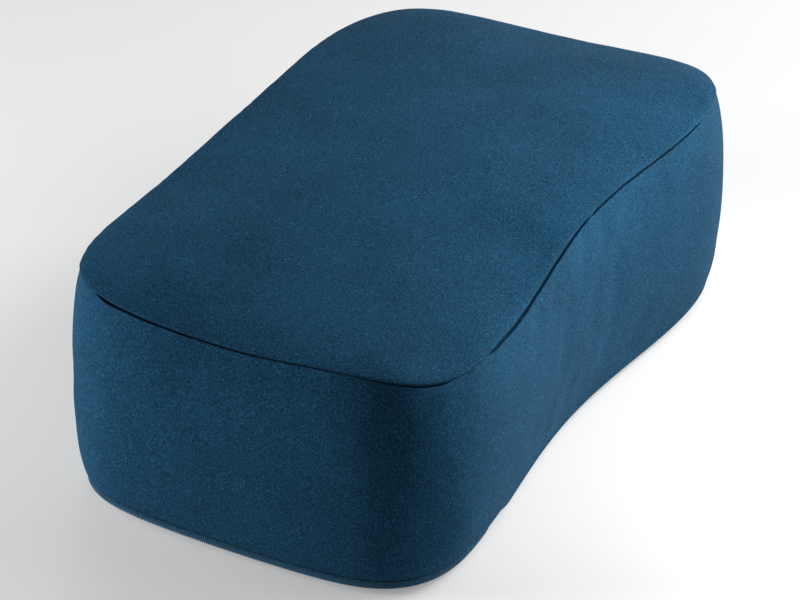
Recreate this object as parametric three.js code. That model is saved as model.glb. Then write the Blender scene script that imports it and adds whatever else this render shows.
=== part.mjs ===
// A rectangular box cushion: a crowned top panel sewn to a side band, long sides drawn in at the middle,
// and a coil zip under the band's lower edge, across the front end and a little way round both front corners.
// Units are millimetres, +Z is up, +Y runs along the cushion, and the zip's end faces -Y.
// The origin is the middle of the cushion's bounding box, on the surface that it rests on.
import * as THREE from "three";

// The plan of the cover, as it is cut.
const halfLength = 194;
const halfWidth = 120.5;
const squareness = 5; // exponent of the rounded rectangle: 2 is an ellipse, and more is squarer
const waistRight = 15.5; // how far the right side is drawn in at its middle
const waistLeft = 10.5;
const waistReach = 134; // how far along the side the drawing-in fades

// The section of the cushion.
const height = 140;
const bandBulge = 5.7; // how far the filling pushes the band out, half-way up
const bulgeFullness = 0.7;
const lipHeight = 9; // the band's lower edge, over the surface
const edgeRound = 10.3; // how far in from the lip the underside becomes flat
const seamDepth = 1.6; // the crease where the top panel meets the band
const seamHalfWidth = 1.1;
const topOverhang = 0.7; // how far the top panel rolls out over the seam
const crownPower = 1.8; // how boxy the top panel's crown is: 2 is a half ellipse, and less is more pointed

// The cover isn't sewn or filled evenly: these places lie a twelfth of the way round from each other,
// from the middle of the right side by way of the back end. seamHeight is the height of the top seam there,
// and lipOut is how far the band's lower edge stands out from the plan.
const places = [
  { name: "right waist", seamHeight: 132, lipOut: -4 },
  { name: "right back lobe", seamHeight: 129, lipOut: -1 },
  { name: "right back corner", seamHeight: 125, lipOut: 3 },
  { name: "back end", seamHeight: 118, lipOut: 5 },
  { name: "left back corner", seamHeight: 118, lipOut: 3 },
  { name: "left back lobe", seamHeight: 127, lipOut: -2 },
  { name: "left waist", seamHeight: 130, lipOut: -6 },
  { name: "left front lobe", seamHeight: 125, lipOut: -2 },
  { name: "left front corner", seamHeight: 129, lipOut: 1 },
  { name: "front end", seamHeight: 125, lipOut: 5 },
  { name: "right front corner", seamHeight: 132, lipOut: 3 },
  { name: "right front lobe", seamHeight: 121, lipOut: -2 },
];

// The cloth is gathered at the right front corner, which draws the top seam down there.
const gather = { place: 10.23, depth: 9, reach: 0.42 };

// The zip: its chain lies against the lower edge, leaning in towards its foot, and its ends turn in further.
const zipLean = THREE.MathUtils.degToRad(4);
const zipEndLean = THREE.MathUtils.degToRad(22);
const zipTurn = 0.045; // share of the way round in which an end turns in
const chainWidth = 4.3;
const toothThickness = 1.5;
const tapeThickness = 1;
const tapeAbove = 1.6; // how far the upper tape runs up behind the band's edge
const tapeBelow = 1;
const gap = 0.3; // between pieces that touch
const chainIn = 0.9; // the chain's upper edge, in from the lip
const chainTop = 7.7;
const zipStart = 7.5; // where the zip starts and ends, in twelfths of the way round
const zipEnd = 10.75;
const recessFade = 0.008; // share of the way round in which the zip's recess closes

// How finely the shapes are cut.
const columns = 144;
const bandRows = 9;
const topRows = 9;
const planSamples = 720;

const clothBlue = 0x23557a;
const zipBlue = 0x1d4565;

const smooth = THREE.MathUtils.smoothstep;

// The plan as a closed curve: a rounded rectangle whose long sides are drawn in.
function planCurve() {
  const points = [];
  for (let i = 0; i < planSamples; i++) {
    const angle = (2 * Math.PI * i) / planSamples;
    const across = Math.abs(Math.cos(angle) / halfWidth) ** squareness;
    const along = Math.abs(Math.sin(angle) / halfLength) ** squareness;
    const radius = (across + along) ** (-1 / squareness);
    const x = radius * Math.cos(angle);
    const y = radius * Math.sin(angle);
    const waist = x > 0 ? waistRight : waistLeft;
    const drawnIn = (waist / halfWidth) * Math.exp(-((y / waistReach) ** 2));
    points.push(new THREE.Vector3(x * (1 - drawnIn), y, 0));
  }
  const curve = new THREE.CatmullRomCurve3(points, true);
  curve.arcLengthDivisions = 4 * planSamples;
  return curve;
}

const plan = planCurve();
const zipFrom = zipStart / places.length;
const zipTo = zipEnd / places.length;
const unevenness = new THREE.CatmullRomCurve3(
  places.map((place) => new THREE.Vector3(place.seamHeight, place.lipOut, 0)),
  true,
  "catmullrom",
);

// One column of the cushion: its point on the plan, the way out from it, and its uneven sizes.
function columnAt(index) {
  const share = (index % columns) / columns;
  const point = plan.getPointAt(share);
  const tangent = plan.getTangentAt(share);
  const uneven = unevenness.getPoint(share);
  const fromGather = (share * places.length - gather.place) / gather.reach;
  const opens = smooth(share, zipFrom - recessFade, zipFrom);
  const closes = 1 - smooth(share, zipTo, zipTo + recessFade);
  const turned = 1 - smooth(share, zipFrom, zipFrom + zipTurn) + smooth(share, zipTo - zipTurn, zipTo);
  return {
    point,
    outward: new THREE.Vector3(tangent.y, -tangent.x, 0),
    seamHeight: uneven.x - gather.depth * Math.exp(-(fromGather ** 2)),
    lipOut: uneven.y,
    lean: THREE.MathUtils.lerp(zipLean, zipEndLean, turned),
    recess: opens * closes,
  };
}

const columnList = Array.from({ length: columns }, (_, index) => columnAt(index));

// A point of the zip's section: along is measured down the chain from its upper edge, and deep inwards from its face.
function zipPoint(column, along, deep) {
  const out = -chainIn - along * Math.sin(column.lean) - deep * Math.cos(column.lean);
  const z = chainTop - along * Math.cos(column.lean) + deep * Math.sin(column.lean);
  return { out, z };
}

// The lower edge of one column, from the flat underside out to the lip, as offsets from the lip.
function lowerEdge(column) {
  const floorDepth = toothThickness + tapeThickness + 2 * gap;
  const recessFoot = zipPoint(column, chainWidth + tapeBelow, floorDepth);
  const recessHead = zipPoint(column, -0.9, floorDepth + 0.1);
  const plainAngles = [0, 20, 38, 54, 70, 82, 90];
  const opened = [
    { out: -edgeRound, z: 0 },
    { out: recessFoot.out - 1.4, z: 0.3 },
    recessFoot,
    recessHead,
    { out: recessHead.out + 0.2, z: recessHead.z + 1.3 },
    { out: -1.9, z: recessHead.z + 1 },
    { out: -0.8, z: lipHeight - 0.2 },
  ];
  return plainAngles.map((degrees, row) => {
    const angle = THREE.MathUtils.degToRad(degrees);
    const plain = { out: -edgeRound * (1 - Math.sin(angle)), z: lipHeight * (1 - Math.cos(angle)) };
    return {
      out: column.lipOut + THREE.MathUtils.lerp(plain.out, opened[row].out, column.recess),
      z: THREE.MathUtils.lerp(plain.z, opened[row].z, column.recess),
    };
  });
}

// The side band of one column, bulging between the lip and the seam.
function band(column) {
  const low = { out: column.lipOut, z: lipHeight + 0.9 };
  const high = { out: 0, z: column.seamHeight - seamHalfWidth };
  const rows = [];
  for (let row = 0; row <= bandRows; row++) {
    const up = (1 - Math.cos((Math.PI * row) / bandRows)) / 2;
    const bulge = bandBulge * (1 - (2 * up - 1) ** 2) ** bulgeFullness;
    rows.push({
      out: THREE.MathUtils.lerp(low.out, high.out, up) + bulge,
      z: THREE.MathUtils.lerp(low.z, high.z, up),
    });
  }
  return rows;
}

// The height of the crowned top panel where its plan is shrunk to this share.
function crownHeight(column, share) {
  const rise = (1 - share ** crownPower) ** (1 / crownPower);
  return THREE.MathUtils.lerp(column.seamHeight, height, rise);
}

// The whole section of one column, from the middle of the underside to the middle of the top.
// Each row has a share, to which the plan is shrunk, an offset outwards and a height.
function section(column) {
  const rows = [{ share: 0, out: 0, z: 0 }];
  lowerEdge(column).forEach((row) => rows.push({ share: 1, ...row }));
  band(column).forEach((row) => rows.push({ share: 1, ...row }));
  rows.push({ share: 1, out: -seamDepth, z: column.seamHeight });
  rows.push({ share: 1, out: topOverhang / 2, z: column.seamHeight + seamHalfWidth });
  for (let row = 1; row < topRows; row++) {
    const inward = (row / topRows) ** 1.25;
    const share = Math.cos((inward * Math.PI) / 2);
    const out = topOverhang * Math.max(0, 1 - row / 3);
    rows.push({ share, out, z: crownHeight(column, share) + seamHalfWidth * Math.max(0, 1 - row / 3) });
  }
  rows.push({ share: 0, out: 0, z: height });
  return rows;
}

// Where a row of a section lies in space.
function placed(column, row) {
  const place = column.point.clone().multiplyScalar(row.share);
  place.addScaledVector(column.outward, row.out);
  place.z = row.z;
  return place;
}

// The cushion is a lathed body whose rings are then drawn out to the plan.
function cushionGeometry() {
  const sections = columnList.map(section);
  const profile = sections[0].map((row, index) => new THREE.Vector2(row.share ? halfWidth : 0, index));
  const geometry = new THREE.LatheGeometry(profile, columns);
  const position = geometry.getAttribute("position");
  for (let ring = 0; ring <= columns; ring++) {
    const index = ring % columns;
    sections[index].forEach((row, step) => {
      const place = placed(columnList[index], row);
      position.setXYZ(ring * profile.length + step, place.x, place.y, place.z);
    });
  }
  geometry.computeVertexNormals();
  return geometry;
}

// A strip of the zip: a long box, bent round the front of the cushion.
function zipStripGeometry(alongFrom, alongTo, deepFrom, deepTo) {
  const first = Math.ceil(zipFrom * columns);
  const last = Math.floor(zipTo * columns);
  const steps = last - first;
  const geometry = new THREE.BoxGeometry(steps, 1, 1, steps, 1, 1);
  const position = geometry.getAttribute("position");
  for (let i = 0; i < position.count; i++) {
    const column = columnList[first + Math.round(position.getX(i) + steps / 2)];
    const along = position.getY(i) > 0 ? alongFrom : alongTo;
    const deep = position.getZ(i) > 0 ? deepFrom : deepTo;
    const { out, z } = zipPoint(column, along, deep);
    const place = placed(column, { share: 1, out: column.lipOut + out, z });
    position.setXYZ(i, place.x, place.y, place.z);
  }
  geometry.computeVertexNormals();
  return geometry;
}

function named(name, geometry, color, roughness) {
  const material = new THREE.MeshStandardMaterial({ color, roughness, metalness: 0 });
  const mesh = new THREE.Mesh(geometry, material);
  mesh.name = name;
  return mesh;
}

const chainMiddle = chainWidth / 2;
const tapeFront = toothThickness + gap;
const tapeBack = tapeFront + tapeThickness;

const group = new THREE.Group();
group.add(named("cushion", cushionGeometry(), clothBlue, 0.95));
group.add(named("zip_teeth_upper", zipStripGeometry(0, chainMiddle - gap / 2, 0, toothThickness), zipBlue, 0.5));
group.add(named("zip_teeth_lower", zipStripGeometry(chainMiddle + gap / 2, chainWidth, 0, toothThickness), zipBlue, 0.5));
group.add(named("zip_tape_upper", zipStripGeometry(-tapeAbove, chainMiddle - gap / 2, tapeFront, tapeBack), zipBlue, 0.9));
group.add(named("zip_tape_lower", zipStripGeometry(chainMiddle + gap / 2, chainWidth + tapeBelow, tapeFront, tapeBack), zipBlue, 0.9));

// The origin goes to the middle of the bounding box.
const middle = new THREE.Box3().setFromObject(group).getCenter(new THREE.Vector3());
group.position.set(-middle.x, -middle.y, 0);

export default group;
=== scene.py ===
"""A rectangular box cushion in a zipped knit cover, dressed for a plain studio.

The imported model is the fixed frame. Everything here is in metres, with +Z up and +Y along the cushion,
and the zip's end facing -Y. The cover, its seams, its thread and the zip are built by the classes below,
in the order in which a maker would cut and sew them.
"""
from __future__ import annotations

import logging
import math
from dataclasses import dataclass, field
from enum import Enum
from typing import Callable

import bpy
import numpy as np
from mathutils import Matrix, Vector
from mathutils.kdtree import KDTree

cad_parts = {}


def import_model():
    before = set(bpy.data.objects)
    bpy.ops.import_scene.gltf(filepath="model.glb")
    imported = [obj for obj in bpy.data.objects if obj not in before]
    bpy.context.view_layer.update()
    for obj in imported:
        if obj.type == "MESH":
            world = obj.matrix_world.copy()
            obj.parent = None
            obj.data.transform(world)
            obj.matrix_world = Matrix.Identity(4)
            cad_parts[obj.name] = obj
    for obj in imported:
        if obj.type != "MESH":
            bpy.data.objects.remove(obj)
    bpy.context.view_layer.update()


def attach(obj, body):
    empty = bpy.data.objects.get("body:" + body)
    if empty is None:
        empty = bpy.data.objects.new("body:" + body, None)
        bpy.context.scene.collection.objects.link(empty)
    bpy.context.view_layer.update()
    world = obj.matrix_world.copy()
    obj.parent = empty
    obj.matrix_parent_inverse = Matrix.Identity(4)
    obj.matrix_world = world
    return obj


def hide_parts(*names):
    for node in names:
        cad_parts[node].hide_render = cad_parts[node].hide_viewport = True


MM = 0.001
UP = np.array([0.0, 0.0, 1.0])
PIECE_BODY = "root"
CLOTH_MAP = "cloth_map"
Array = np.ndarray
Piece = bpy.types.Object
Mesh = bpy.types.Mesh
Material = bpy.types.Material
Tree = bpy.types.NodeTree
Socket = bpy.types.NodeSocket
Colour = tuple[float, float, float, float]
Sockets = dict[str, Socket]
Values = dict[str | int, object]
log = logging.getLogger("cushion")


@dataclass(frozen=True)
class Place:
    """The sewing and the filling at one place round the cushion, in millimetres."""

    seam_height: float
    lip_out: float
    seam_width: float
    slit: float


PLACES = {
    "right waist": Place(132, -4, 0.8, 0.95),
    "right back lobe": Place(129, -1, 0.8, 0.5),
    "right back corner": Place(125, 3, 0.8, 0.4),
    "back end": Place(118, 5, 0.9, 0.45),
    "left back corner": Place(118, 3, 0.9, 0.45),
    "left back lobe": Place(127, -2, 0.9, 0.45),
    "left waist": Place(130, -6, 0.9, 0.45),
    "left front lobe": Place(125, -2, 1.0, 0.5),
    "left front corner": Place(129, 1, 1.3, 1.1),
    "front end": Place(125, 5, 1.0, 0.55),
    "right front corner": Place(132, 3, 0.8, 0.5),
    "right front lobe": Place(121, -2, 0.9, 1.35),
}


@dataclass(frozen=True)
class Pinch:
    """A stretch of the top seam that is pulled shut, so that the top's edge stands up in a small fold."""

    place: float
    reach: float
    shut: float = 1.0


PINCHES = (
    Pinch(0.02, 0.03),
    Pinch(1.6, 0.3),
    Pinch(7.95, 0.27),
    Pinch(9.8, 0.28, 0.55),
    Pinch(10.45, 0.26),
)


def smooth_step(value: Array, low: float, high: float) -> Array:
    """Rises smoothly from 0 at low to 1 at high."""
    part = np.clip((value - low) / (high - low), 0.0, 1.0)
    return part * part * (3.0 - 2.0 * part)


def measured(measure: str, share: Array) -> Array:
    """Reads a smooth closed curve through one measure of the places.

    Args:
        measure: The measure's name.
        share: Where to read, as shares of the way round.

    Returns:
        The measure in metres at each share.
    """
    knots = np.array([getattr(place, measure) for place in PLACES.values()]) * MM
    place = (share % 1.0) * len(knots)
    first = np.floor(place).astype(int)
    part = place - first
    before, start, end, after = (knots[(first + step) % len(knots)] for step in (-1, 0, 1, 2))
    slope_in = 0.5 * (end - before)
    slope_out = 0.5 * (after - start)
    square = part * part
    cube = square * part
    return (
        (2 * cube - 3 * square + 1) * start
        + (cube - 2 * square + part) * slope_in
        + (3 * square - 2 * cube) * end
        + (cube - square) * slope_out
    )


@dataclass(frozen=True)
class Ripple:
    """Smooth uneven waves round the cushion, made of a few seeded sines.

    Each value is between about -1 and 1, and the two ends of the way round meet.
    """

    seed: int
    slowest: int
    fastest: int
    waves: int
    peak: float = 1.2

    def __call__(self, share: Array, drift: Array | float = 0.0) -> Array:
        """Reads the waves.

        Args:
            share: Where to read, as shares of the way round.
            drift: How far the waves are turned at each point, in radians.

        Returns:
            The height of the waves at each point.
        """
        dice = np.random.default_rng(self.seed)
        turns = dice.integers(self.slowest, self.fastest + 1, self.waves)
        phases = dice.uniform(0.0, 2.0 * math.pi, self.waves)
        leans = dice.uniform(-1.0, 1.0, self.waves)
        total = np.zeros(np.broadcast(share, drift).shape)
        for turn, phase, lean in zip(turns, phases, leans):
            total = total + np.sin(2.0 * math.pi * turn * share + phase + lean * drift)
        return total / math.sqrt(self.waves) / self.peak


@dataclass
class CushionForm:
    """The cushion's shape: a plan that is drawn in at the waist, and a section at each point of it."""

    half_length: float = 194 * MM
    half_width: float = 120.5 * MM
    squareness: float = 5.0
    waist_right: float = 15.5 * MM
    waist_left: float = 10.5 * MM
    waist_reach: float = 134 * MM
    height: float = 140 * MM
    band_bulge: float = 5.7 * MM
    bulge_fullness: float = 0.7
    lip_height: float = 9.0 * MM
    foot_rise: float = 0.9 * MM
    edge_round: float = 10.3 * MM
    top_overhang: float = 0.7 * MM
    top_step: float = 1.1 * MM
    crown_power: float = 1.8
    gather_place: float = 10.23
    gather_depth: float = 9 * MM
    gather_reach: float = 0.42
    zip_start: float = 7.5
    zip_end: float = 10.75
    recess_opening: float = 0.008
    recess_closing: float = 0.025
    samples: int = 7200
    outline_columns: int = 1440
    outline_rows: int = 41
    shift: Array = field(init=False)

    def __post_init__(self) -> None:
        """Measures the plan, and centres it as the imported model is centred."""
        angle = np.linspace(0.0, 2.0 * math.pi, self.samples + 1)
        across = np.abs(np.cos(angle) / self.half_width) ** self.squareness
        along = np.abs(np.sin(angle) / self.half_length) ** self.squareness
        radius = (across + along) ** (-1.0 / self.squareness)
        x = radius * np.cos(angle)
        y = radius * np.sin(angle)
        waist = np.where(x > 0.0, self.waist_right, self.waist_left)
        x = x * (1.0 - waist / self.half_width * np.exp(-((y / self.waist_reach) ** 2)))
        steps = np.hypot(np.diff(x), np.diff(y))
        self._walk = np.concatenate(([0.0], np.cumsum(steps)))
        self._points = np.stack((x, y), 1)
        ahead = np.roll(self._points[:-1], -1, 0)
        behind = np.roll(self._points[:-1], 1, 0)
        tangent = ahead - behind
        tangent /= np.linalg.norm(tangent, axis=1)[:, None]
        outward = np.stack((tangent[:, 1], -tangent[:, 0]), 1)
        self._outward = np.concatenate((outward, outward[:1]))
        self.shift = np.zeros(2)
        share = np.linspace(0.0, 1.0, self.outline_columns, endpoint=False)
        ups = np.linspace(0.0, 1.0, self.outline_rows)
        outline = np.concatenate([self.band_point(share, np.full(share.shape, up)) for up in ups])[:, :2]
        self.shift = -(outline.min(0) + outline.max(0)) / 2.0

    @property
    def girth(self) -> float:
        """The length of the plan's outline."""
        return float(self._walk[-1])

    @property
    def zip_from(self) -> float:
        """Where the zip starts, as a share of the way round."""
        return self.zip_start / len(PLACES)

    @property
    def zip_to(self) -> float:
        """Where the zip ends, as a share of the way round."""
        return self.zip_end / len(PLACES)

    def _read(self, table: Array, share: Array) -> Array:
        """Reads one of the plan's tables at shares of its length."""
        walk = (share % 1.0) * self._walk[-1]
        return np.stack([np.interp(walk, self._walk, column) for column in table.T], 1)

    def seam_height(self, share: Array) -> Array:
        """The height of the top seam, drawn down where the cloth is gathered at the right front corner."""
        far = ((share % 1.0) * len(PLACES) - self.gather_place) / self.gather_reach
        return measured("seam_height", share) - self.gather_depth * np.exp(-(far**2))

    def recess(self, share: Array) -> Array:
        """How far the zip's recess is open, from 0 to 1."""
        share = share % 1.0
        opens = smooth_step(share, self.zip_from - self.recess_opening, self.zip_from)
        return opens * (1.0 - smooth_step(share, self.zip_to, self.zip_to + self.recess_closing))

    def outward(self, share: Array) -> Array:
        """The level way out of the cushion, as a row of X, Y and Z at each share."""
        flat = self._read(self._outward, share)
        flat /= np.linalg.norm(flat, axis=1)[:, None]
        return np.column_stack((flat, np.zeros(len(flat))))

    def place(
        self, share: Array, out: Array, z: Array, shrink: Array | float = 1.0
    ) -> Array:
        """Places points of the section in space.

        Args:
            share: Where each point lies, as a share of the way round.
            out: How far it stands out from the plan.
            z: Its height.
            shrink: How far the plan is drawn in towards the cushion's middle.

        Returns:
            A row of X, Y and Z for each point.
        """
        flat = self._read(self._points, share) * np.reshape(shrink, (-1, 1))
        flat = flat + self.outward(share)[:, :2] * np.reshape(out, (-1, 1)) + self.shift
        return np.column_stack((flat, np.broadcast_to(z, share.shape)))

    def band_point(self, share: Array, up: Array) -> Array:
        """Places points of the side band, where up runs from 0 at its foot to 1 at the seam."""
        low = self.lip_height + self.foot_rise
        bulge = self.band_bulge * (1.0 - (2.0 * up - 1.0) ** 2) ** self.bulge_fullness
        out = measured("lip_out", share) * (1.0 - up) + bulge
        return self.place(share, out, low + (self.seam_height(share) - low) * up)

    def crown(self, share: Array, shrink: Array) -> Array:
        """The height of the crowned top, over a plan shrunk by this much."""
        seam = self.seam_height(share)
        power = self.crown_power
        rise = np.clip(1.0 - shrink**power, 0.0, 1.0) ** (1.0 / power)
        return seam + (self.height - seam) * rise


@dataclass
class MeshParts:
    """Points and faces on their way to becoming one mesh."""

    points: list[Array] = field(default_factory=list)
    faces: list[tuple[int, ...]] = field(default_factory=list)
    count: int = 0

    def add(self, points: Array) -> int:
        """Adds points, and gives the number of the first."""
        first = self.count
        self.points.append(points)
        self.count += len(points)
        return first

    def loft(self, rings: Array) -> None:
        """Adds one closed body through a row of rings.

        Args:
            rings: The points by ring, then by place on the ring, whose way round shows outwards.
        """
        steps, sides, _ = rings.shape
        first = self.add(rings.reshape(-1, 3))
        for low in range(first, first + (steps - 1) * sides, sides):
            for corner in range(sides):
                turn = (corner + 1) % sides
                self.faces.append((low + corner, low + turn, low + sides + turn, low + sides + corner))
        last = first + (steps - 1) * sides
        self.faces.append(tuple(first + corner for corner in reversed(range(sides))))
        self.faces.append(tuple(last + corner for corner in range(sides)))

    def tube(self, path: Array, radius: Array | float, sides: int, up: Array) -> None:
        """Adds a closed round tube.

        Args:
            path: The points of its middle line.
            radius: Its radius, alike all along or at each point.
            sides: How many sides it has.
            up: A direction that is never along the path, alike all along or at each point.
        """
        ahead = np.gradient(path, axis=0)
        ahead /= np.linalg.norm(ahead, axis=1, keepdims=True)
        side = np.cross(ahead, np.broadcast_to(up, path.shape))
        side /= np.linalg.norm(side, axis=1, keepdims=True)
        over = np.cross(side, ahead)
        angle = np.arange(sides)[:, None] * 2.0 * math.pi / sides
        ring = side[:, None] * np.cos(angle) - over[:, None] * np.sin(angle)
        wide = np.broadcast_to(np.asarray(radius, dtype=float), len(path))[:, None, None]
        self.loft(path[:, None] + ring * wide)

    def make(self, name: str) -> Piece:
        """Makes the mesh, shaded smooth, and its object, which is linked to the scene."""
        mesh = bpy.data.meshes.new(name)
        mesh.from_pydata(np.concatenate(self.points).tolist(), [], self.faces)
        mesh.polygons.foreach_set("use_smooth", [True] * len(mesh.polygons))
        mesh.update()
        piece = bpy.data.objects.new(name, mesh)
        bpy.context.scene.collection.objects.link(piece)
        return piece


def read_all(items: bpy.types.bpy_prop_collection, key: str, kind: type, width: int = 1) -> Array:
    """Reads one value of each of a mesh's items, or a row of values where it has several.

    Args:
        items: The items, such as the mesh's points or faces.
        key: The value's name.
        kind: The kind of number.
        width: How many numbers the value has.

    Returns:
        The numbers, by item.
    """
    values = np.zeros(len(items) * width, dtype=kind)
    items.foreach_get(key, values)
    return values.reshape(-1, width) if width > 1 else values


def read_points(mesh: Mesh) -> Array:
    """Reads a mesh's points as rows of X, Y and Z."""
    return read_all(mesh.vertices, "co", float, 3)


def tree_of(points: Array) -> KDTree:
    """Sorts points into a tree, in which the nearest ones are found."""
    tree = KDTree(len(points))
    for index, point in enumerate(points):
        tree.insert(point, index)
    tree.balance()
    return tree


@dataclass
class ZipSection:
    """The zip in section: its chain stands under the band, leaning in, and its ends turn in further."""

    lean: float = math.radians(4.0)
    end_lean: float = math.radians(22.0)
    turn: float = 0.045
    chain_width: float = 4.3 * MM
    chain_in: float = 0.9 * MM
    chain_top: float = 7.7 * MM
    tooth_thickness: float = 1.5 * MM
    tape_room: float = 1.0 * MM
    tape_below: float = 1.0 * MM
    gap: float = 0.3 * MM

    @property
    def floor_depth(self) -> float:
        """How deep the bottom of the zip's recess lies, in from the chain's face."""
        return self.tooth_thickness + self.tape_room + 2 * self.gap

    def lean_at(self, form: CushionForm, share: Array) -> Array:
        """How far the chain leans in, as an angle."""
        turned = 1.0 - smooth_step(share, form.zip_from, form.zip_from + self.turn)
        turned = turned + smooth_step(share, form.zip_to - self.turn, form.zip_to)
        return self.lean + (self.end_lean - self.lean) * turned

    def point(self, lean: Array, along: Array | float, deep: Array | float) -> tuple[Array, Array]:
        """Places a point of the section.

        Args:
            lean: How far the chain leans in there.
            along: How far down the chain from its upper edge.
            deep: How far in from the chain's face.

        Returns:
            How far the point stands out from the lip, and its height.
        """
        out = -self.chain_in - along * np.sin(lean) - deep * np.cos(lean)
        z = self.chain_top - along * np.cos(lean) + deep * np.sin(lean)
        return out, z


class Panel(Enum):
    """The cut pieces of the cover."""

    UNDERSIDE = "underside"
    BAND = "side band"
    TOP = "top"


@dataclass
class Ring:
    """One closed ring of the cover's points. Its panel holds the faces that lead up to it."""

    points: Array
    panel: Panel
    share: Array
    climb: Array = field(default_factory=lambda: np.zeros(0))


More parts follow.
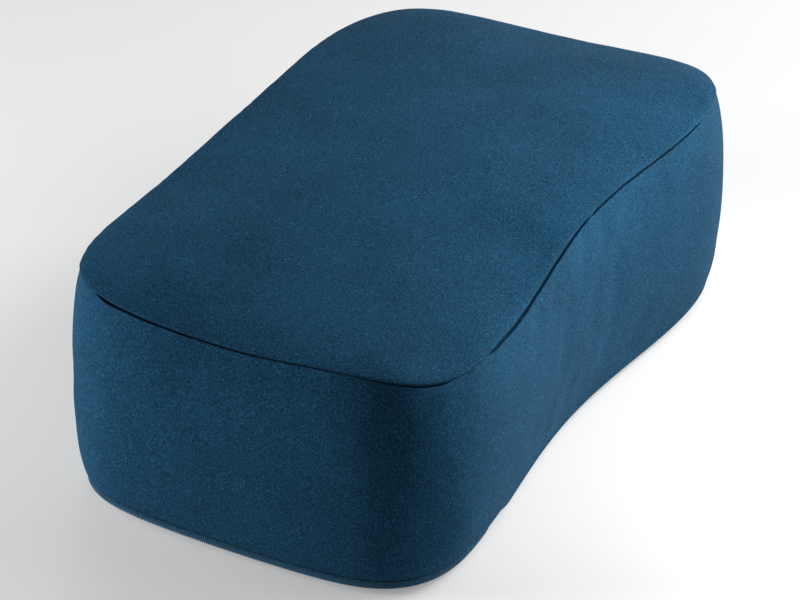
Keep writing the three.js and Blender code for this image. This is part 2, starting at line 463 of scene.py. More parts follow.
@dataclass
class Cover:
    """The filled cover: an underside, a side band and a crowned top panel, sewn into one closed form."""

    form: CushionForm
    section: ZipSection
    columns: int = 576
    edge_steps: int = 4
    edge_angles: tuple[float, ...] = (0.0, 20.0, 38.0, 54.0, 70.0, 82.0, 90.0)
    edge_seam_width: float = 0.8 * MM
    bevel: float = 1.4 * MM
    bevel_lift: float = 0.3 * MM
    head_room: float = 0.9 * MM
    head_deeper: float = 0.1 * MM
    roof_lean: float = 0.2 * MM
    roof_rise: float = 1.3 * MM
    hem_in: float = 1.9 * MM
    hem_rise: float = 1.0 * MM
    hem_edge_in: float = 0.8 * MM
    hem_edge_drop: float = 0.2 * MM
    slit_depth: float = 4.5 * MM
    slit_lean: float = math.radians(52.0)
    slit_least: float = 0.02 * MM
    slit_shut: float = 0.05 * MM
    slit_open: float = 0.25 * MM
    usual_seam: float = 1.4 * MM
    roll_full: float = 1.6 * MM
    roll_until: float = 2.0 * MM
    roll_end: float = 7.0 * MM
    fold_height: float = 0.45 * MM
    fold_lift: float = 0.9 * MM
    fold_reach: float = 0.6 * MM
    pucker: float = 0.12 * MM
    pucker_reach: float = 4.5 * MM
    pucker_drift: float = 10 * MM
    gather_reach: float = 16 * MM
    gather_drift: float = 20 * MM
    band_wave: float = 0.5 * MM
    top_wave: float = 0.3 * MM
    top_wave_length: float = 90 * MM
    top_waves: tuple[tuple[float, ...], ...] = (
        (1.0, 1.3, 0.8, 0.4),
        (0.8, -1.1, 2.1, 1.9),
        (0.6, 2.9, 2.3, 0.0),
    )
    band_rows: int = 44
    over_lip: tuple[float, ...] = (0.3, 0.7, 1.2, 2.0, 3.2, 5.0)
    under_seam: tuple[float, ...] = (
        *(8.0, 6.2, 4.8, 3.7, 2.8, 2.1, 1.6, 1.25),
        *(1.0, 0.8, 0.6, 0.45, 0.32, 0.2, 0.1, 0.0),
    )
    over_seam: tuple[float, ...] = (0.1, 0.2, 0.32, 0.45, 0.6, 0.8, 1.0, 1.25)
    top_rises: tuple[float, ...] = (
        *(0.04, 0.08, 0.12, 0.17, 0.22, 0.28, 0.34, 0.4),
        *(0.46, 0.52, 0.58, 0.64, 0.7, 0.76, 0.82),
    )
    top_sizes: tuple[float, ...] = (0.42, 0.36, 0.3, 0.24, 0.18, 0.13, 0.09, 0.05, 0.03)
    underside_sizes: tuple[float, ...] = (0.03, 0.05, 0.09, 0.15, 0.3, 0.45, 0.6, 0.8, 0.92)
    puckers: Ripple = Ripple(11, 70, 150, 12)
    gathers: Ripple = Ripple(12, 18, 55, 9)
    patches: Ripple = Ripple(13, 3, 14, 7)
    slow_waves: Ripple = Ripple(14, 2, 9, 6)

    @staticmethod
    def pinched(share: Array) -> Array:
        """How far the top seam is pulled shut, from 0 to 1."""
        shut = np.zeros(share.shape)
        for pinch in PINCHES:
            far = np.abs((share % 1.0) * len(PLACES) - pinch.place)
            far = np.minimum(far, len(PLACES) - far)
            shut = np.maximum(shut, pinch.shut * (1.0 - smooth_step(far, 0.5 * pinch.reach, pinch.reach)))
        return shut

    def slit(self, share: Array, distance: Array) -> Array:
        """How much deeper than its rolled edges the top seam lies at this distance from its middle."""
        half = measured("slit", share) * (1.0 - self.pinched(share))
        inside = 1.0 - smooth_step(np.abs(distance) / np.maximum(half, self.slit_least), 0.7, 1.3)
        return self.slit_depth * inside * smooth_step(half, self.slit_shut, self.slit_open)

    def sunk(self, points: Array, share: Array, distance: Array) -> Array:
        """Draws the points beside the top seam down into its slit, which leans inwards."""
        inward = -math.cos(self.slit_lean) * self.form.outward(share)
        return points + self.slit(share, distance)[:, None] * (inward - math.sin(self.slit_lean) * UP)

    @staticmethod
    def crease(distance: Array, width: Array | float) -> Array:
        """How deep two panels that roll into a seam lie at this distance from it."""
        inside = np.clip(width - np.abs(distance), 0.0, None)
        return width - np.sqrt(np.clip(width * width - inside * inside, 0.0, None))

    def ruffle(self, share: Array, distance: Array) -> Array:
        """The small gathers beside the top seam, as a height outwards."""
        strength = np.clip(0.4 + 0.6 * self.patches(share), 0.0, 1.2)
        small = self.puckers(share, distance / self.pucker_drift)
        small = np.exp(-((distance / self.pucker_reach) ** 2)) * small
        broad = self.gathers(share, distance / self.gather_drift)
        broad = np.exp(-((distance / self.gather_reach) ** 2)) * broad
        return self.pucker * (small * strength + broad)

    def edge_rings(self, share: Array) -> list[Ring]:
        """The rounded lower edge, with the zip's recess in it, from the flat underside out to the lip."""
        form, section = self.form, self.section
        lean = section.lean_at(form, share)
        foot_down = section.chain_width + section.tape_below
        foot_out, foot_z = section.point(lean, foot_down, section.floor_depth)
        head_out, head_z = section.point(lean, -self.head_room, section.floor_depth + self.head_deeper)
        lip_end = (0.0, form.lip_height + form.foot_rise)
        corners = [
            (-form.edge_round, 0.0),
            (foot_out - self.bevel, self.bevel_lift),
            (foot_out, foot_z),
            (head_out, head_z),
            (head_out + self.roof_lean, head_z + self.roof_rise),
            (-self.hem_in, head_z + self.hem_rise),
            (-self.hem_edge_in, form.lip_height - self.hem_edge_drop),
            lip_end,
        ]
        opened = np.array([np.stack(np.broadcast_arrays(out, z, share)[:2], axis=-1) for out, z in corners])
        angle = np.radians(self.edge_angles)
        plain_out = -form.edge_round * (1.0 - np.sin(angle))
        plain_z = form.lip_height * (1.0 - np.cos(angle))
        plain = np.vstack((np.column_stack((plain_out, plain_z)), lip_end))
        recess = form.recess(share)
        rows = plain[:, None] * (1.0 - recess[:, None]) + opened * recess[:, None]
        last = len(rows) - 1
        steps = np.linspace(0.0, last, last * self.edge_steps + 1)
        low = np.minimum(steps.astype(int), last - 1)
        part = (steps - low)[:, None, None]
        rows = rows[low] * (1.0 - part) + rows[low + 1] * part
        for _ in range(2):
            rows[1:-1] = (rows[:-2] + 2.0 * rows[1:-1] + rows[2:]) / 4.0
        rings = []
        for step, row in enumerate(rows):
            sewn = self.crease(row[:, 1] - form.lip_height, self.edge_seam_width) * (1.0 - recess)
            sewn = sewn * (step > len(rows) // 2)
            panel = Panel.UNDERSIDE if step <= (last - 1) * self.edge_steps else Panel.BAND
            points = form.place(share, measured("lip_out", share) + row[:, 0] - sewn, row[:, 1])
            rings.append(Ring(points, panel, share))
        return rings

    def band_rings(self, share: Array) -> list[Ring]:
        """The side band's rings, from above the lip to the seam, closer together near both."""
        form = self.form
        seam = form.seam_height(share)
        span = seam - form.lip_height - form.foot_rise
        ups = [lift * MM / span for lift in self.over_lip]
        first, last = ups[-1], 1.0 - self.under_seam[0] * MM / span
        ups += [first + (last - first) * part for part in np.linspace(0.0, 1.0, self.band_rows)[1:-1]]
        ups += [1.0 - drop * MM / span for drop in self.under_seam]
        rings = []
        for up in (np.clip(up, 0.0, 1.0) for up in ups):
            points = form.band_point(share, up)
            below = seam - points[:, 2]
            push = self.band_wave * np.sin(math.pi * up) * self.slow_waves(share, 3.0 * up)
            push = push + self.ruffle(share, below) - self.crease(below, measured("seam_width", share))
            points = self.sunk(points + form.outward(share) * push[:, None], share, below)
            rings.append(Ring(points, Panel.BAND, share))
        return rings

    def top_ring(self, share: Array, shrink: Array, z: Array) -> Ring:
        """Makes one ring of the top panel, with its roll over the seam and its uneven filling.

        Args:
            share: Where its points lie, as shares of the way round.
            shrink: How far the plan is drawn in towards the cushion's middle.
            z: The height of its points.

        Returns:
            The ring.
        """
        form = self.form
        above = z - form.seam_height(share)
        width = measured("seam_width", share)
        rolled = smooth_step(above, 0.0, self.roll_full)
        rolled = rolled * (1.0 - smooth_step(above, self.roll_until, self.roll_end))
        out = form.top_overhang * (width / self.usual_seam) * rolled - self.crease(above, width)
        inward = (1.0 - shrink) * form.half_width + above
        out = out + self.ruffle(share, inward) * smooth_step(above, 0.0, 1.0 * MM)
        fold = np.exp(-(((above - self.fold_lift) / self.fold_reach) ** 2)) * self.pinched(share)
        out = out + self.fold_height * fold * smooth_step(above, 0.0, 0.5 * MM)
        points = self.sunk(form.place(share, out, z, shrink), share, above)
        x, y = (points[:, :2] / self.top_wave_length).T
        waves = sum(high * np.sin(by_x * x + by_y * y + lag) for high, by_x, by_y, lag in self.top_waves)
        points[:, 2] += self.top_wave * waves * smooth_step(1.0 - shrink, 0.02, 0.2)
        return Ring(points, Panel.TOP, share)

    def top_rings(self, share: Array) -> list[Ring]:
        """The top panel's rings, from the seam to the middle, with fewer columns as they shrink."""
        form = self.form
        power = form.crown_power
        rings = []
        for lift in self.over_seam:
            rings.append(self.top_ring(share, np.ones(share.shape), form.seam_height(share) + lift * MM))
        for rise in self.top_rises:
            shrink = np.full(share.shape, (1.0 - rise**power) ** (1.0 / power))
            step = form.top_step * (1.0 - smooth_step(np.full(share.shape, rise), 0.0, 0.6))
            rings.append(self.top_ring(share, shrink, form.crown(share, shrink) + step))
        for size in self.top_sizes:
            fewer = share[:: self.thinning(size)]
            shrink = np.full(fewer.shape, size)
            rings.append(self.top_ring(fewer, shrink, form.crown(fewer, shrink)))
        return rings

    @staticmethod
    def thinning(size: float) -> int:
        """How many columns of a full ring one column of a smaller ring stands for."""
        return 2 ** max(0, math.floor(math.log2(0.8 / size)))

    def rings(self) -> list[Ring]:
        """All the cover's rings, from the middle of the underside to the middle of the top."""
        share = np.arange(self.columns) / self.columns
        edge = self.edge_rings(share)
        rings = []
        for size in self.underside_sizes:
            thin = self.thinning(size)
            rings.append(Ring(edge[0].points[::thin] * (size, size, 1.0), Panel.UNDERSIDE, share[::thin]))
        return rings + edge + self.band_rings(share) + self.top_rings(share)

    def piece(self, name: str) -> Piece:
        """Joins the rings into one closed mesh with a map of the cloth on it.

        Args:
            name: The object's name.

        Returns:
            The new object, which is linked to the scene.
        """
        rings = self.rings()
        climb = np.zeros(self.columns)
        for before, ring in zip([None, *rings], rings):
            if before is not None and len(before.points) == len(ring.points) == self.columns:
                climb = climb + np.linalg.norm(ring.points - before.points, axis=1)
            ring.climb = climb[:: self.columns // len(ring.points)]
        parts = MeshParts()
        panels: list[Panel] = []
        firsts = [parts.add(ring.points) for ring in rings]
        for low, high, first, top in zip(rings, rings[1:], firsts, firsts[1:]):
            self.join(parts, first, len(low.points), top, len(high.points))
            panels += [high.panel] * (len(parts.faces) - len(panels))
        for ring, first, up in ((rings[0], firsts[0], False), (rings[-1], firsts[-1], True)):
            middle = parts.add(ring.points.mean(0, keepdims=True))
            many = len(ring.points)
            for step in range(many):
                here, ahead = first + step, first + (step + 1) % many
                parts.faces.append((here, ahead, middle) if up else (ahead, here, middle))
            panels += [ring.panel] * many
        piece = parts.make(name)
        self.map_cloth(piece.data, rings, panels)
        return piece

    @staticmethod
    def join(parts: MeshParts, first: int, below: int, top: int, above: int) -> None:
        """Adds the faces between two rings, of which one may have twice the other's points.

        Args:
            parts: The mesh in the making.
            first: The number of the lower ring's first point.
            below: How many points the lower ring has.
            top: The number of the upper ring's first point.
            above: How many points the upper ring has.
        """
        fewer = min(below, above)
        for step in range(fewer):
            turn = (step + 1) % fewer
            middle, end = 2 * step + 1, (2 * step + 2) % (2 * fewer)
            if below > fewer:
                parts.faces.append((first + 2 * step, first + middle, top + step))
                parts.faces.append((first + middle, top + turn, top + step))
                parts.faces.append((first + middle, first + end, top + turn))
            elif above > fewer:
                parts.faces.append((first + step, top + middle, top + 2 * step))
                parts.faces.append((first + step, first + turn, top + middle))
                parts.faces.append((first + turn, top + end, top + middle))
            else:
                parts.faces.append((first + step, first + turn, top + turn, top + step))

    def map_cloth(self, mesh: Mesh, rings: list[Ring], panels: list[Panel]) -> None:
        """Lays each panel out flat in a map, in metres, so that the knit follows the cut.

        Args:
            mesh: The cover's mesh.
            rings: The rings that it was made of.
            panels: The panel of each of its faces.
        """
        flat = read_points(mesh)[:, :2]
        ends = [np.zeros(2)]
        shares = np.concatenate([ring.share for ring in rings] + ends)
        climbs = np.concatenate([ring.climb for ring in rings] + ends)
        corners = read_all(mesh.loops, "vertex_index", int)
        sizes = read_all(mesh.polygons, "loop_total", int)
        owner = np.repeat(np.arange(len(sizes)), sizes)
        starts = np.concatenate(([0], np.cumsum(sizes)[:-1]))
        share = shares[corners]
        furthest = np.maximum.reduceat(share, starts)[owner]
        share = np.where(furthest - share > 0.5, share + 1.0, share)
        wound = np.column_stack((share * self.form.girth, climbs[corners]))
        on_band = np.array([panel is Panel.BAND for panel in panels])[owner]
        layer = mesh.uv_layers.new(name=CLOTH_MAP)
        layer.data.foreach_set("uv", np.where(on_band[:, None], wound, flat[corners]).ravel())


@dataclass
class Filling:
    """The filling's push: a cloth pass on a coarse copy of the cover, whose unevenness is kept."""

    form: CushionForm
    voxel: float = 6 * MM
    pressure: float = 4.0
    last_frame: int = 20
    slack: float = 0.006
    cap: float = 0.7 * MM
    held_within: float = 9 * MM
    seam_points: int = 1200
    broad_rounds: int = 40
    neighbours: int = 6

    def press(self, cover: Piece) -> None:
        """Presses the filling out against the cover, and keeps the unevenness that this leaves in it."""
        coarse = self.coarse_copy(cover)
        skin = coarse.data
        before = read_points(skin)
        edges = read_all(skin.edges, "vertices", int, 2)
        moved = self.inflated(coarse) - before
        moved = moved - self.averaged(moved, edges, self.broad_rounds)
        moved = self.averaged(moved, edges, 2)
        reach = np.linalg.norm(moved, axis=1, keepdims=True)
        moved *= np.minimum(1.0, self.cap / np.maximum(reach, 1e-9))
        self.pass_on(cover.data, before, moved)
        bpy.data.objects.remove(coarse)
        bpy.data.meshes.remove(skin)
        bpy.context.scene.frame_set(1)
        log.info("filling: moves up to %.2f mm", float(reach.max()) / MM)

    def coarse_copy(self, cover: Piece) -> Piece:
        """Copies the cover as an evenly meshed skin, fit for the cloth pass."""
        copy = bpy.data.objects.new("filling_skin", cover.data.copy())
        bpy.context.scene.collection.objects.link(copy)
        remesh = copy.modifiers.new("even", "REMESH")
        remesh.mode = "VOXEL"
        remesh.voxel_size = self.voxel
        solved = copy.evaluated_get(bpy.context.evaluated_depsgraph_get())
        even = bpy.data.meshes.new_from_object(solved)
        fine = copy.data
        copy.modifiers.clear()
        copy.data = even
        bpy.data.meshes.remove(fine)
        return copy

    def inflated(self, skin: Piece) -> Array:
        """Runs the cloth pass, held at the seam and the underside.

        Args:
            skin: The evenly meshed skin.

        Returns:
            Its points at the end.
        """
        points = read_points(skin.data)
        share = np.linspace(0.0, 1.0, self.seam_points, endpoint=False)
        seam = tree_of(self.form.place(share, np.zeros(share.shape), self.form.seam_height(share)))
        held = skin.vertex_groups.new(name="sewn")
        for index, point in enumerate(points):
            near = 1.0 - min(1.0, seam.find(point)[2] / self.held_within)
            low = 1.0 - min(1.0, max(0.0, point[2] - self.form.lip_height) / self.held_within)
            held.add([index], max(near, low), "REPLACE")
        cloth = skin.modifiers.new("filled", "CLOTH")
        cloth.point_cache.frame_start = 1
        cloth.point_cache.frame_end = self.last_frame
        rules = cloth.settings
        rules.quality = 6
        rules.mass = 0.2
        rules.tension_stiffness = 15.0
        rules.compression_stiffness = 5.0
        rules.shear_stiffness = 5.0
        rules.bending_stiffness = 0.2
        rules.shrink_min = -self.slack
        rules.use_pressure = True
        rules.uniform_pressure_force = self.pressure
        rules.vertex_group_mass = held.name
        rules.pin_stiffness = 1.0
        rules.effector_weights.gravity = 0.0
        for frame in range(1, self.last_frame + 1):
            bpy.context.scene.frame_set(frame)
        solved = skin.evaluated_get(bpy.context.evaluated_depsgraph_get())
        after = read_points(solved.data)
        skin.modifiers.clear()
        return after

    @staticmethod
    def averaged(values: Array, edges: Array, rounds: int) -> Array:
        """Averages values with their neighbours', so many times."""
        count = np.bincount(edges.ravel(), minlength=len(values))[:, None]
        for _ in range(rounds):
            total = np.zeros_like(values)
            np.add.at(total, edges[:, 0], values[edges[:, 1]])
            np.add.at(total, edges[:, 1], values[edges[:, 0]])
            values = 0.5 * values + 0.5 * total / count
        return values

    def pass_on(self, mesh: Mesh, places: Array, moved: Array) -> None:
        """Moves the cover's points as the skin's points near them moved.

        Args:
            mesh: The cover's mesh.
            places: The skin's points, before the pass.
            moved: How far each of them moved.
        """
        tree = tree_of(places)
        points = read_points(mesh)
        for index, point in enumerate(points):
            found = tree.find_n(point, self.neighbours)
            weights = np.array([1.0 / (far + 0.3 * self.voxel) for _, _, far in found])
            push = weights @ moved[[near for _, near, _ in found]] / weights.sum()
            points[index] = point + push * min(1.0, max(0.0, point[2] / self.form.lip_height - 1.0))
        mesh.vertices.foreach_set("co", points.ravel())
        mesh.update()


@dataclass
class SeamStitches:
    """The thread of the top seam, which shows as short stitches down in its crease."""

    form: CushionForm
    cover: Cover
    length: float = 2.6 * MM
    spacing: float = 3.6 * MM
    radius: float = 0.2 * MM
    depth: float = 2.6 * MM
    bite: float = 0.5 * MM
    steps: int = 7

    def piece(self, name: str) -> Piece:
        """Makes the stitches as one object."""
        parts = MeshParts()
        many = round(self.form.girth / self.spacing)
        lean = self.cover.slit_lean
        deep = self.depth + self.bite * (1.0 - np.sin(np.linspace(0.0, math.pi, self.steps)))
        for stitch in range(many):
            share = stitch / many + np.linspace(0.0, self.length / self.form.girth, self.steps)
            out = -measured("seam_width", share) - deep * math.cos(lean)
            path = self.form.place(share, out, self.form.seam_height(share) - deep * math.sin(lean))
            parts.tube(path, self.radius, 6, UP)
        return parts.make(name)


class Row(Enum):
    """The two halves of the zip, by the side of the opening that each is sewn to."""

    UPPER = 1
    LOWER = -1


@dataclass
class Zip:
    """The coil zip: two wound coils whose heads lock, each sewn to the edge of its woven tape."""

    form: CushionForm
    section: ZipSection
    ends: tuple[float, float] = (0.6245, 0.8953)
    pitch: float = 1.27 * MM
    wire: float = 0.29 * MM
    head_overlap: float = 0.2 * MM
    turn_points: int = 14
    turn_flatness: float = 0.8
    head_swell: float = 0.15
    tape_thickness: float = 0.6 * MM
    tape_depth: float = 1.95 * MM
    tape_points: int = 9
    tape_steps: int = 360
    upper_reach: float = 1.2 * MM
    lower_reach: float = 0.7 * MM
    stitch_length: float = 1.9 * MM
    stitch_spacing: float = 2.4 * MM
    stitch_radius: float = 0.15 * MM
    stitch_off: float = 0.25 * MM
    stitch_proud: float = 0.05 * MM
    stitch_bite: float = 0.5 * MM
    stitch_steps: int = 7

    def place(self, share: Array, along: Array | float, deep: Array | float) -> Array:
        """Places points of the zip: down the chain from its upper edge, and in from its face."""
        out, z = self.section.point(self.section.lean_at(self.form, share), along, deep)
        return self.form.place(share, measured("lip_out", share) + out, z)

    @property
    def run(self) -> float:
        """The zip's length."""
        return (self.ends[1] - self.ends[0]) * self.form.girth

    def middle_of(self, row: Row) -> float:
        """How far down the chain a row's own middle line lies."""
        return self.section.chain_width * (0.5 - 0.25 * row.value)

    def coil(self, name: str, row: Row) -> Piece:
        """Winds one coil. The two coils' wires lie half a pitch apart, so that their heads pass each other.

        Args:
            name: The object's name.
            row: Which of the two coils it is.

        Returns:
            The new object.
        """
        thickness, wire = self.section.tooth_thickness, self.wire
        turns = math.floor(self.run / self.pitch) - 1
        angle = np.linspace(0.0, 2.0 * math.pi * turns, turns * self.turn_points + 1)
        shift = 0.25 * row.value * self.pitch / self.form.girth
        middle = sum(self.ends) / 2.0
        share = middle + (angle / (2.0 * math.pi) - turns / 2.0) * self.pitch / self.form.girth + shift
        half_width = self.section.chain_width / 4.0 + self.head_overlap / 2.0 - wire / 2.0
        flat = np.sign(np.cos(angle)) * np.abs(np.cos(angle)) ** self.turn_flatness
        head = self.middle_of(row) + row.value * (self.head_overlap - wire) / 2.0
        deep = thickness / 2.0 + (thickness / 2.0 - wire) * np.sin(angle)
        path = self.place(share, head + row.value * half_width * flat, deep)
        outward = self.form.outward(share)
        level = np.column_stack((-outward[:, 1], outward[:, 0], np.zeros(len(share))))
        radius = wire * (1.0 + self.head_swell * np.clip(np.cos(angle), 0.0, 1.0) ** 3)
        parts = MeshParts()
        parts.tube(path, radius, 6, level)
        return parts.make(name)

    def tape(self, name: str, row: Row) -> Piece:
        """Lays one woven tape behind its coil.

        Args:
            name: The object's name.
            row: Which of the two tapes it is.

        Returns:
            The new object.
        """
        half = self.section.chain_width / 2.0
        if row is Row.UPPER:
            start, end = -self.upper_reach, half - self.section.gap / 2.0
        else:
            start, end = half + self.section.gap / 2.0, self.section.chain_width + self.lower_reach
        across = np.linspace(start, end, self.tape_points)
        edge = (2.0 * np.linspace(0.0, 1.0, self.tape_points) - 1.0) ** 8
        half_thick = 0.5 * self.tape_thickness * (1.0 - edge)
        middle = self.tape_depth + self.tape_thickness / 2.0
        front = np.column_stack((across, middle - half_thick))
        back = np.column_stack((across, middle + half_thick))
        profile = np.concatenate((front[:-1], back[:0:-1]))
        share = np.linspace(*self.ends, self.tape_steps)
        parts = MeshParts()
        parts.loft(np.stack([self.place(share, along, deep) for along, deep in profile], axis=1))
        return parts.make(name)

    def stitches(self, name: str) -> Piece:
        """Sews both coils to their tapes: a line of short stitches lies along each."""
        parts = MeshParts()
        many = round(self.run / self.stitch_spacing) - 1
        arch = np.sin(np.linspace(0.0, math.pi, self.stitch_steps))
        deep = self.stitch_bite * (1.0 - arch) ** 2 - self.stitch_proud
        for row in Row:
            for stitch in range(many):
                start = self.ends[0] + (stitch + 0.5) * self.stitch_spacing / self.form.girth
                share = start + np.linspace(0.0, self.stitch_length / self.form.girth, self.stitch_steps)
                path = self.place(share, self.middle_of(row) + row.value * self.stitch_off, deep)
                parts.tube(path, self.stitch_radius, 6, UP)
        return parts.make(name)


@dataclass
class Graph:
    """A tree of shader nodes, with short ways to add nodes to it."""

    tree: Tree

    def feed(self, node: bpy.types.Node, inputs: Values) -> None:
        """Gives a node's inputs their values, or links them to the sockets that feed them."""
        for key, value in inputs.items():
            if isinstance(value, Socket):
                self.tree.links.new(value, node.inputs[key])
            else:
                node.inputs[key].default_value = value

    def add(self, kind: str, inputs: Values, **settings: object) -> bpy.types.Node:
        """Adds a node.

        Args:
            kind: The node's kind, without the words that all kinds start with.
            inputs: A value, or a socket to link, for each input that differs from the usual.
            settings: The node's own settings.

        Returns:
            The new node.
        """
        node = self.tree.nodes.new("ShaderNode" + kind)
        for name, value in settings.items():
            setattr(node, name, value)
        self.feed(node, inputs)
        return node

    def math(self, operation: str, *values: object) -> Socket:
        """Adds a sum of numbers, and gives its result."""
        return self.add("Math", dict(enumerate(values)), operation=operation).outputs[0]

    def tint(self, colour: object, factor: object) -> Socket:
        """Makes a colour lighter or darker by a factor."""
        return self.add("VectorMath", {0: colour, "Scale": factor}, operation="SCALE").outputs[0]

    def noise(self, place: object, size: object, detail: float, roughness: float = 0.5) -> Socket:
        """Adds smooth noise between 0 and 1, with lumps of this size."""
        scale = self.math("DIVIDE", 1.0, size)
        wanted = {"Vector": place, "Scale": scale, "Detail": detail, "Roughness": roughness}
        return self.add("TexNoise", wanted).outputs[0]

    def effect(self, group: Tree, inputs: Values) -> Socket:
        """Places one of the shared effects, and gives its result."""
        return self.add("Group", inputs, node_tree=group).outputs[0]


@dataclass
class Effects:
    """The effects that the finishes share: each is a group of nodes, built once."""

    dye: Tree = field(init=False)
    knit: Tree = field(init=False)
    fuzz: Tree = field(init=False)

    def __post_init__(self) -> None:
        """Builds the groups."""
        self.dye = self.build(self.dye_mottle, ("Vector", "Color", "Patch", "Speck", "Amount"), "Color")
        self.knit = self.build(self.knit_loops, ("Vector", "Wale", "Course", "Waver"), "Height")
        self.fuzz = self.build(self.fibre_fuzz, ("Vector", "Size"), "Height")

    @staticmethod
    def build(wire: Callable[[Graph, Sockets], Socket], labels: tuple[str, ...], result: str) -> Tree:
        """Builds a group of nodes with named inputs and one named output.

        Args:
            wire: Wires the group, which takes its name, and gives the socket of the result.
            labels: The names of the inputs. All are numbers, but for a place and a colour.
            result: The name of the output.

        Returns:
            The group.
        """
        kinds = {"Vector": "NodeSocketVector", "Color": "NodeSocketColor"}
        tree = bpy.data.node_groups.new(wire.__name__, "ShaderNodeTree")
        for label in labels:
            kind = kinds.get(label, "NodeSocketFloat")
            tree.interface.new_socket(label, in_out="INPUT", socket_type=kind)
        kind = kinds.get(result, "NodeSocketFloat")
        tree.interface.new_socket(result, in_out="OUTPUT", socket_type=kind)
        source = tree.nodes.new("NodeGroupInput")
        sink = tree.nodes.new("NodeGroupOutput")
        inputs = {label: source.outputs[label] for label in labels}
        tree.links.new(wire(Graph(tree), inputs), sink.inputs[result])
        return tree

    @staticmethod
    def dye_mottle(graph: Graph, inputs: Sockets) -> Socket:
        """Varies a colour in broad patches, and in yarn-sized specks of which the light ones stand out."""
        patch = graph.noise(inputs["Vector"], inputs["Patch"], 2.0)
        speck = graph.noise(inputs["Vector"], inputs["Speck"], 2.0, 0.6)
        broad = graph.math("MULTIPLY", graph.math("SUBTRACT", patch, 0.5), 0.3)
        # The cube makes the light specks stand out. At a middling speck its sum is 0 and rises by 2.
        fine = graph.math("MULTIPLY_ADD", graph.math("POWER", speck, 3.0), 8.0 / 3.0, -1.0 / 3.0)
        change = graph.math("MULTIPLY", graph.math("ADD", broad, fine), inputs["Amount"])
        return graph.tint(inputs["Color"], graph.math("ADD", 1.0, change))

    @staticmethod
    def knit_loops(graph: Graph, inputs: Sockets) -> Socket:
        """Draws the columns of loops of a fine knit, each loop two slanted legs."""
        waver = graph.noise(inputs["Vector"], 6.25 * MM, 1.0)
        waver = graph.math("MULTIPLY", graph.math("SUBTRACT", waver, 0.5), inputs["Waver"])
        split = graph.add("SeparateXYZ", {0: inputs["Vector"]})
        across = graph.math("ADD", graph.math("DIVIDE", split.outputs[0], inputs["Wale"]), waver)
        up = graph.math("ADD", graph.math("DIVIDE", split.outputs[1], inputs["Course"]), waver)
        leg = graph.math("MULTIPLY", graph.math("PINGPONG", across, 0.5), 2.0)
        round_leg = graph.math("SINE", graph.math("MULTIPLY", leg, math.pi))
        slant = graph.math("ADD", up, graph.math("MULTIPLY", leg, 0.8))
        loop = graph.math("SINE", graph.math("MULTIPLY", slant, 2.0 * math.pi))
        return graph.math("MULTIPLY", round_leg, graph.math("MULTIPLY_ADD", loop, 0.3, 0.7))

    @staticmethod
    def fibre_fuzz(graph: Graph, inputs: Sockets) -> Socket:
        """Makes the irregular relief of short fibres."""
        return graph.noise(inputs["Vector"], inputs["Size"], 3.0, 0.65)


def start_material(name: str) -> tuple[Material, Graph, Socket]:
    """Starts a material.

    Args:
        name: The material's name.

    Returns:
        The material, its empty graph, and the place in the solid that its effects follow.
    """
    material = bpy.data.materials.new(name)
    material.use_nodes = True
    material.node_tree.nodes.clear()
    graph = Graph(material.node_tree)
    return material, graph, graph.add("TexCoord", {}).outputs["Object"]


@dataclass(frozen=True)
class Finish:
    """A dyed finish: its colour, the sizes and the strength of its mottle, its relief and its gloss."""

    name: str
    colour: Colour
    patch: float = 20 * MM
    speck: float = 0.6 * MM
    mottle: float = 0.35
    fibre: float = 0.4 * MM
    relief: float = 0.05 * MM
    bump: float = 0.6
    roughness: float = 0.72
    rough_fibre: float = 0.15
    gloss: float = 0.04

    def material(self, effects: Effects) -> Material:
        """Makes the material."""
        material, graph, solid = start_material(self.name)
        dye = {"Color": self.colour, "Patch": self.patch, "Speck": self.speck, "Amount": self.mottle}
        dyed = graph.effect(effects.dye, {"Vector": solid, **dye})
        fuzz = graph.effect(effects.fuzz, {"Vector": solid, "Size": self.fibre})
        colour, height = self.work(graph, effects, {"Solid": solid, "Dyed": dyed, "Fuzz": fuzz})
        bump = graph.add("Bump", {"Strength": self.bump, "Distance": self.relief, "Height": height})
        rough = graph.math("MULTIPLY_ADD", fuzz, self.rough_fibre, self.roughness)
        varied = {"Base Color": colour, "Roughness": rough, "Normal": bump.outputs[0]}
        shader = graph.add("BsdfPrincipled", {**varied, **self.shine()})
        graph.add("OutputMaterial", {"Surface": shader.outputs[0]})
        return material

    def shine(self) -> Values:
        """The shader's own values for how the finish shines, alike all over."""
        return {"Specular IOR Level": self.gloss}

    def work(self, graph: Graph, effects: Effects, made: Sockets) -> tuple[Socket, ...]:
        """Works the textile's own pattern into the relief, and paints shade into the colour where the
        pattern is low. A plain finish has neither.

        Args:
            graph: The material's graph.
            effects: The shared effects.
            made: The place in the solid, the dyed colour and the fibres' relief.

        Returns:
            The colour, darkened by painted shade where the pattern is low, and the relief.
        """
        return made["Dyed"], made["Fuzz"]


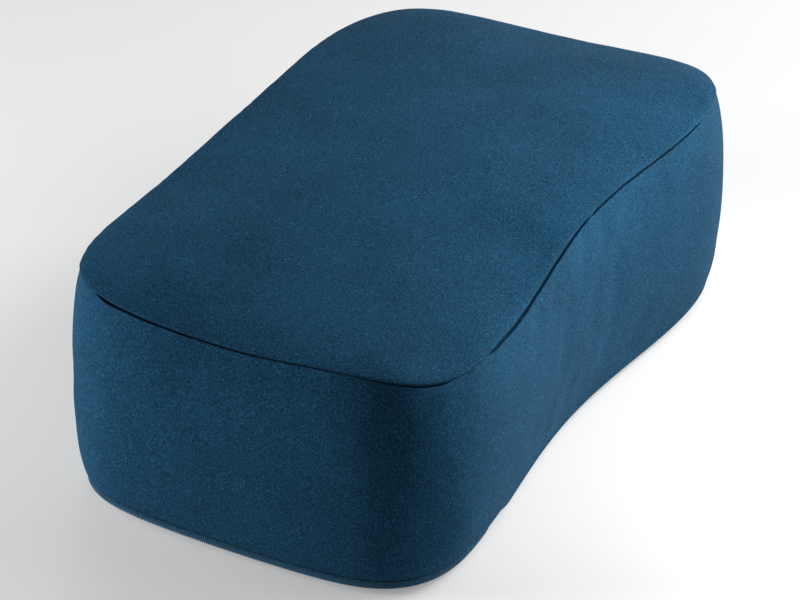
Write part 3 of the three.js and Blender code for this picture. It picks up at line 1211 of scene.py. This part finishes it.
@dataclass(frozen=True)
class KnitFinish(Finish):
    """The cover's dyed knit: fine columns of loops with a short soft nap over them."""

    name: str = "dyed_knit"
    colour: Colour = (0.0080, 0.0440, 0.0870, 1.0)
    patch: float = 45 * MM
    speck: float = 0.9 * MM
    mottle: float = 1.8
    fibre: float = 1.1 * MM
    relief: float = 0.22 * MM
    roughness: float = 0.75
    rough_fibre: float = 0.2
    gloss: float = 0.03
    wale: float = 1.2 * MM
    course: float = 1.0 * MM
    waver: float = 0.9
    sheen: float = 0.01
    sheen_roughness: float = 0.45
    sheen_tint: Colour = (0.8, 0.9, 1.0, 1.0)

    def shine(self) -> Values:
        """The shader's own values, with the soft shine of the nap."""
        nap = {"Sheen Weight": self.sheen, "Sheen Roughness": self.sheen_roughness}
        return {**super().shine(), **nap, "Sheen Tint": self.sheen_tint}

    def work(self, graph: Graph, effects: Effects, made: Sockets) -> tuple[Socket, ...]:
        """Knits the loops, with painted shade that darkens the colour between their legs."""
        laid = graph.add("UVMap", {}, uv_map=CLOTH_MAP).outputs[0]
        sizes = {"Wale": self.wale, "Course": self.course, "Waver": self.waver}
        knit = graph.effect(effects.knit, {"Vector": laid, **sizes})
        # Painted shade: the colour is darkened where the loops' relief is low, between their legs.
        depth = graph.math("MULTIPLY_ADD", knit, 0.75, 0.66)
        nap = graph.math("MULTIPLY", made["Fuzz"], 1.4)
        height = graph.math("ADD", graph.math("MULTIPLY", knit, 0.5), nap)
        return graph.tint(made["Dyed"], depth), height


@dataclass(frozen=True)
class CoilFinish(Finish):
    """The zip's coil: dyed nylon wire, smooth, with a soft gloss."""

    name: str = "zip_nylon"
    colour: Colour = (0.045, 0.155, 0.26, 1.0)
    speck: float = 0.5 * MM
    mottle: float = 0.25
    fibre: float = 0.3 * MM
    relief: float = 0.03 * MM
    bump: float = 0.2
    roughness: float = 0.38
    gloss: float = 0.12


@dataclass(frozen=True)
class WovenFinish(Finish):
    """A close woven or twisted textile, such as the zip's tape or the sewing thread.

    Its relief waves slowly on the slant, with painted shade darkening the colour between the ribs: the rib
    is how far X + Y + Z rises over one wave.
    """

    rib: float = 4.4216 * MM

    def work(self, graph: Graph, effects: Effects, made: Sockets) -> tuple[Socket, ...]:
        """Weaves the ribs, with painted shade that darkens the colour between them."""
        wave = {"Vector": made["Solid"], "Scale": 2.0 * math.pi / (10.0 * self.rib), "Distortion": 0.6}
        ribs = graph.add("TexWave", wave, bands_direction="DIAGONAL").outputs[1]
        # Painted shade: the colour is darkened between the ribs.
        depth = graph.math("MULTIPLY_ADD", ribs, 0.4, 0.75)
        return graph.tint(made["Dyed"], depth), graph.math("ADD", ribs, made["Fuzz"])


@dataclass(frozen=True)
class FloorFinish:
    """The studio's plain pale floor, which glows a little."""

    name: str = "pale_floor"
    colour: Colour = (0.5, 0.5, 0.5, 1.0)
    glow: float = 0.28

    def material(self, effects: Effects) -> Material:
        """Makes the material."""
        material, graph, solid = start_material(self.name)
        dye = {"Color": self.colour, "Patch": 0.6, "Speck": 0.05, "Amount": 0.01}
        lit = {"Emission Color": (1.0, 1.0, 1.0, 1.0), "Emission Strength": self.glow}
        dyed = graph.effect(effects.dye, {"Vector": solid, **dye})
        shader = graph.add("BsdfPrincipled", {"Base Color": dyed, "Roughness": 0.9, **lit})
        graph.add("OutputMaterial", {"Surface": shader.outputs[0]})
        return material


@dataclass(frozen=True)
class SoftLight:
    """One soft box: its place, the height that it faces over the cushion's middle, its width and power."""

    name: str
    place: tuple[float, float, float]
    aim_height: float
    width: float
    power: float

    def hang(self) -> None:
        """Adds the light to the scene."""
        lamp = bpy.data.lights.new(self.name, "AREA")
        lamp.shape = "SQUARE"
        lamp.size = self.width
        lamp.energy = self.power
        holder = bpy.data.objects.new(self.name, lamp)
        holder.location = self.place
        facing = Vector((0.0, 0.0, self.aim_height)) - Vector(self.place)
        holder.rotation_euler = facing.to_track_quat("-Z", "Y").to_euler()
        holder.visible_camera = False
        bpy.context.scene.collection.objects.link(holder)


@dataclass
class Studio:
    """The plain studio: a pale floor, soft lights and the camera at the photograph's angle."""

    floor_size: float = 12.0
    camera_back: tuple[float, float, float] = (0.385578, -0.757803, 0.526369)
    camera_aim: tuple[float, float, float] = (0.00503, -0.01815, 0.06)
    camera_distance: float = 2.2915
    camera_roll: float = math.radians(1.286)
    lens: float = 191.53
    backdrop: float = 0.85
    lights: tuple[SoftLight, ...] = (
        SoftLight("left_low_box", (-1.055, -0.738, 0.311), 0.13, 0.5, 15.4),
        SoftLight("left_near_box", (-0.546, -0.315, 0.287), 0.13, 0.5, 1.9),
        SoftLight("back_low_box", (0.0, 1.287, 0.311), 0.13, 0.5, 4.4),
        SoftLight("back_high_box", (-0.704, 0.704, 0.906), 0.07, 0.5, 2.8),
        SoftLight("right_low_box", (0.544, 1.167, 0.311), 0.13, 0.5, 16.2),
        SoftLight("right_side_box", (1.055, 0.738, 0.311), 0.13, 0.5, 3.1),
        SoftLight("right_near_box", (0.262, 0.122, 0.415), 0.07, 0.3, 1.7),
        SoftLight("right_edge_box", (0.317, 0.0, 0.218), 0.07, 0.3, 0.7),
    )

    def lay_floor(self, finish: FloorFinish, effects: Effects) -> None:
        """Lays the floor that the cushion rests on."""
        half = self.floor_size / 2.0
        mesh = bpy.data.meshes.new("studio_floor")
        corners = [(-half, -half, 0.0), (half, -half, 0.0), (half, half, 0.0), (-half, half, 0.0)]
        mesh.from_pydata(corners, [], [(0, 1, 2, 3)])
        floor = bpy.data.objects.new("studio_floor", mesh)
        floor.data.materials.append(finish.material(effects))
        bpy.context.scene.collection.objects.link(floor)

    def light(self) -> None:
        """Hangs the lights, and sets the pale backdrop, which shows beyond the floor and gives no light."""
        world = bpy.data.worlds.new("studio_backdrop")
        world.use_nodes = True
        graph = Graph(world.node_tree)
        seen = graph.add("LightPath", {}).outputs["Is Camera Ray"]
        strength = graph.math("MULTIPLY", seen, self.backdrop)
        pale = {"Color": (1.0, 1.0, 1.0, 1.0), "Strength": strength}
        graph.feed(world.node_tree.nodes["Background"], pale)
        bpy.context.scene.world = world
        for soft_light in self.lights:
            soft_light.hang()

    def set_camera(self) -> None:
        """Sets the camera at the photograph's angle."""
        back = Vector(self.camera_back).normalized()
        level = Vector((0.0, 0.0, 1.0)).cross(back).normalized()
        upright = back.cross(level)
        right = math.cos(self.camera_roll) * level + math.sin(self.camera_roll) * upright
        upward = back.cross(right)
        turned = Matrix((right, upward, back)).transposed().to_4x4()
        data = bpy.data.cameras.new("photo_camera")
        data.sensor_width = 36.0
        data.lens = self.lens
        data.clip_end = 50.0
        camera = bpy.data.objects.new("photo_camera", data)
        place = Vector(self.camera_aim) + back * self.camera_distance
        camera.matrix_world = Matrix.Translation(place) @ turned
        bpy.context.scene.collection.objects.link(camera)
        bpy.context.scene.camera = camera
        bpy.context.scene.view_settings.view_transform = "Standard"


@dataclass
class Cushion:
    """The whole cushion: its cover, the thread of its seam, and its zip."""

    form: CushionForm = field(default_factory=CushionForm)
    section: ZipSection = field(default_factory=ZipSection)
    knit: KnitFinish = KnitFinish()
    coil: CoilFinish = CoilFinish()
    thread: WovenFinish = WovenFinish("sewing_thread", (0.025, 0.095, 0.165, 1.0))
    tape: WovenFinish = WovenFinish(
        "zip_tape_weave", (0.012, 0.052, 0.1, 1.0), relief=0.08 * MM, rib=8.8432 * MM
    )

    def build(self, effects: Effects) -> None:
        """Builds and dresses each piece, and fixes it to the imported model."""
        cover = Cover(self.form, self.section)
        body = cover.piece("cover")
        Filling(self.form).press(body)
        self.fix(body, self.knit.material(effects), "cover_cloth", "cushion")
        thread = self.thread.material(effects)
        self.fix(SeamStitches(self.form, cover).piece("seam_stitches"), thread, "cover_cloth")
        chain = Zip(self.form, self.section)
        nylon = self.coil.material(effects)
        self.fix(chain.coil("upper_coil", Row.UPPER), nylon, "zip_teeth", "zip_teeth_upper")
        self.fix(chain.coil("lower_coil", Row.LOWER), nylon, "zip_teeth", "zip_teeth_lower")
        weave = self.tape.material(effects)
        self.fix(chain.tape("upper_tape", Row.UPPER), weave, "zip_tape", "zip_tape_upper")
        self.fix(chain.tape("lower_tape", Row.LOWER), weave, "zip_tape", "zip_tape_lower")
        self.fix(chain.stitches("coil_stitches"), thread, "zip_tape")

    @staticmethod
    def fix(piece: Piece, material: Material, slot: str, *nodes: str) -> None:
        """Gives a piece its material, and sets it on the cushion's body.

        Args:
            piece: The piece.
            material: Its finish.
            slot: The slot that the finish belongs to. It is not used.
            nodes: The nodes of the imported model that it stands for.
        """
        piece.data.materials.append(material)
        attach(piece, PIECE_BODY)
        if nodes:
            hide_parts(*nodes)
        mesh = piece.data
        triangles = len(mesh.loops) - 2 * len(mesh.polygons)
        log.info("%s: %d points, %d triangles", piece.name, len(mesh.vertices), triangles)


def main() -> None:
    """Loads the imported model, sets the studio, and builds the cushion."""
    logging.basicConfig(level=logging.INFO, format="%(name)s: %(message)s")
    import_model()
    effects = Effects()
    studio = Studio()
    studio.set_camera()
    studio.lay_floor(FloorFinish(), effects)
    studio.light()
    Cushion().build(effects)


if __name__ == "__main__":
    main()
